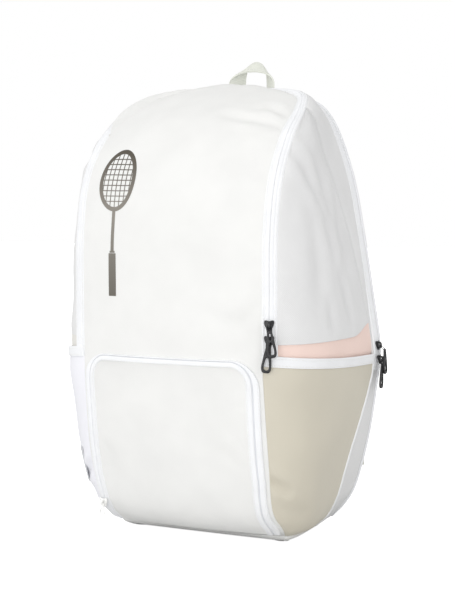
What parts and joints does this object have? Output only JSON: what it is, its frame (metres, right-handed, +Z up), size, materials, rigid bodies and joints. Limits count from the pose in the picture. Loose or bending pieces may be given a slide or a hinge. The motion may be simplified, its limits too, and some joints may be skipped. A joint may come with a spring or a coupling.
{
  "type": "racket backpack",
  "caption": "Upright racket backpack with a fold-down front flap, zipped front pocket, two side pockets, padded back, shoulder straps and a hang loop.",
  "frame": {"origin": "a point on the flat underside that the bag stands on, midway across and 11 mm behind that face's front edge", "axes": "+Z up, +Y towards the wearer's back, +X to the right of someone facing the front panel"},
  "size_m": [0.3266, 0.2915, 0.5307],
  "materials": {
    "white_fabric": "smooth tightly woven polyester, matt",
    "grey_fabric": "soft woven polyester, matt",
    "beige_coated": "smooth coated fabric, low sheen",
    "white_coated": "smooth coated fabric, low sheen",
    "pink_lining": "plain woven lining",
    "lining": "plain woven lining over thin foam",
    "zip_tape": "woven zip tape with a nylon coil",
    "webbing": "ribbed webbing",
    "stiffener": "closed-cell foam sheet",
    "air_mesh": "padded spacer mesh",
    "print": "thin transfer print, faint metallic sheen",
    "black_plastic": "moulded, satin",
    "pale_metal": "painted zip slider",
    "reflective_grey": "smooth grey patch"
  },
  "bodies": {
    "bag": {"base_panel": "white_fabric", "front_panel": "white_fabric", "front_pocket_foot": "white_fabric", "back_panel": "white_fabric", "strap_yoke": "white_fabric", "strap_anchor_right": "white_fabric", "strap_anchor_left": "white_fabric", "base_board": "stiffener", "back_stiffener": "stiffener", "compartment_divider": "lining", "laptop_sleeve": "lining", "side_pocket_wall_left": "lining", "side_pocket_wall_right": "pink_lining", "front_pocket_gusset": "zip_tape", "side_pocket_band_right": "zip_tape", "side_pocket_band_left": "zip_tape", "front_zip_body_tape": "zip_tape", "front_zip_foot_tape_right": "zip_tape", "front_zip_foot_tape_left": "zip_tape", "main_zip_shell_tape": "zip_tape", "main_zip_back_tape": "zip_tape", "back_binding": "zip_tape", "side_panel_right": "grey_fabric", "side_panel_left": "grey_fabric", "top_gusset": "grey_fabric", "rear_corner_right": "grey_fabric", "rear_corner_left": "grey_fabric", "side_pocket_right": "beige_coated", "side_pocket_left": "white_coated", "side_patch": "reflective_grey", "back_pad_right": "air_mesh", "back_pad_left": "air_mesh", "lumbar_pad": "air_mesh"},
    "flap": {"front_flap": "white_fabric", "racket_print": "print", "front_zip_flap_tape": "zip_tape"},
    "pocket_door": {"front_pocket_panel": "white_fabric", "front_pocket_welt": "zip_tape"},
    "front_upper_slider": {"front_zip_upper_slider": "black_plastic"},
    "front_upper_pull": {"front_zip_upper_pull": "black_plastic"},
    "front_lower_slider": {"front_zip_lower_slider": "black_plastic"},
    "front_lower_pull": {"front_zip_lower_pull": "black_plastic"},
    "main_upper_slider": {"main_zip_upper_slider": "black_plastic"},
    "main_upper_pull": {"main_zip_upper_pull": "black_plastic"},
    "main_lower_slider": {"main_zip_lower_slider": "black_plastic"},
    "main_lower_pull": {"main_zip_lower_pull": "black_plastic"},
    "pocket_slider": {"pocket_zip_slider": "pale_metal"},
    "pocket_pull": {"pocket_zip_pull": "pale_metal"},
    "strap_right": {"shoulder_strap_right": "white_fabric", "strap_webbing_right": "webbing"},
    "strap_left": {"shoulder_strap_left": "white_fabric", "strap_webbing_left": "webbing"},
    "adjuster_right": {"strap_adjuster_right": "black_plastic"},
    "adjuster_left": {"strap_adjuster_left": "black_plastic"},
    "loop": {"hang_loop": "webbing"}
  },
  "joints": [
    {"name": "flap_fold", "type": "hinge", "parent": "bag", "child": "flap", "pos_m": [0, -0.1155, 0.2624], "axis": [1, 0, 0], "range_deg": [0, 105]},
    {"name": "pocket_fold", "type": "hinge", "parent": "bag", "child": "pocket_door", "pos_m": [0, -0.0955, 0.05], "axis": [1, 0, 0], "range_deg": [0, 75]},
    {"name": "front_upper_slide", "type": "slide", "parent": "bag", "child": "front_upper_slider", "axis": [-0.0002, 0.0037, 1], "range_m": [0, 0.08]},
    {"name": "front_upper_pull_swing", "type": "hinge", "parent": "front_upper_slider", "child": "front_upper_pull", "pos_m": [0.11602, -0.10358, 0.24302], "axis": [-0.9163, -0.4004, 0], "range_deg": [0, 110]},
    {"name": "front_lower_slide", "type": "slide", "parent": "bag", "child": "front_lower_slider", "axis": [-0.0002, 0.0037, 1], "range_m": [0, 0.08]},
    {"name": "front_lower_pull_swing", "type": "hinge", "parent": "front_lower_slider", "child": "front_lower_pull", "pos_m": [0.11602, -0.10364, 0.22702], "axis": [-0.9163, -0.4004, 0], "range_deg": [0, 110]},
    {"name": "main_upper_slide", "type": "slide", "parent": "bag", "child": "main_upper_slider", "axis": [-0.135, 0, 0.9908], "range_m": [0, 0.04]},
    {"name": "main_upper_pull_swing", "type": "hinge", "parent": "main_upper_slider", "child": "main_upper_pull", "pos_m": [0.1616, 0.09267, 0.20767], "axis": [0.034, -0.9994, 0], "range_deg": [0, 110]},
    {"name": "main_lower_slide", "type": "slide", "parent": "bag", "child": "main_lower_slider", "axis": [-0.135, 0, 0.9908], "range_m": [0, 0.04]},
    {"name": "main_lower_pull_swing", "type": "hinge", "parent": "main_lower_slider", "child": "main_lower_pull", "pos_m": [0.16376, 0.09267, 0.19182], "axis": [0.034, -0.9994, 0], "range_deg": [0, 110]},
    {"name": "pocket_slide", "type": "slide", "parent": "bag", "child": "pocket_slider", "axis": [-0.0313, -0.3269, 0.9446], "range_m": [0, 0.04]},
    {"name": "pocket_pull_swing", "type": "hinge", "parent": "pocket_slider", "child": "pocket_pull", "pos_m": [-0.09681, -0.08355, 0.03632], "axis": [-0.9932, 0.1166, 0], "range_deg": [0, 90]},
    {"name": "strap_swing_right", "type": "hinge", "parent": "bag", "child": "strap_right", "pos_m": [0.04, 0.112, 0.446], "axis": [0.2137, -0.0076, -0.9769], "range_deg": [-10, 10], "stiffness_Nm_per_rad": 0.4},
    {"name": "adjuster_tilt_right", "type": "hinge", "parent": "strap_right", "child": "adjuster_right", "pos_m": [0.10657, 0.13397, 0.20924], "axis": [0.9815, 0.0672, 0.1793], "range_deg": [0, 25]},
    {"name": "strap_swing_left", "type": "hinge", "parent": "bag", "child": "strap_left", "pos_m": [-0.04, 0.112, 0.446], "axis": [-0.2137, -0.0076, -0.9769], "range_deg": [-10, 10], "stiffness_Nm_per_rad": 0.4},
    {"name": "adjuster_tilt_left", "type": "hinge", "parent": "strap_left", "child": "adjuster_left", "pos_m": [-0.10657, 0.13397, 0.20924], "axis": [0.9815, -0.0672, -0.1793], "range_deg": [0, 25]},
    {"name": "loop_flop", "type": "hinge", "parent": "bag", "child": "loop", "pos_m": [0, 0.099, 0.502], "axis": [1, 0, 0], "range_deg": [-40, 40], "stiffness_Nm_per_rad": 0.02}
  ],
  "couplings": [
    {"joint": "front_lower_slide", "follows": "front_upper_slide", "ratio": 1},
    {"joint": "front_lower_pull_swing", "follows": "front_upper_pull_swing", "ratio": 1},
    {"joint": "main_lower_slide", "follows": "main_upper_slide", "ratio": 1},
    {"joint": "main_lower_pull_swing", "follows": "main_upper_pull_swing", "ratio": 1}
  ]
}
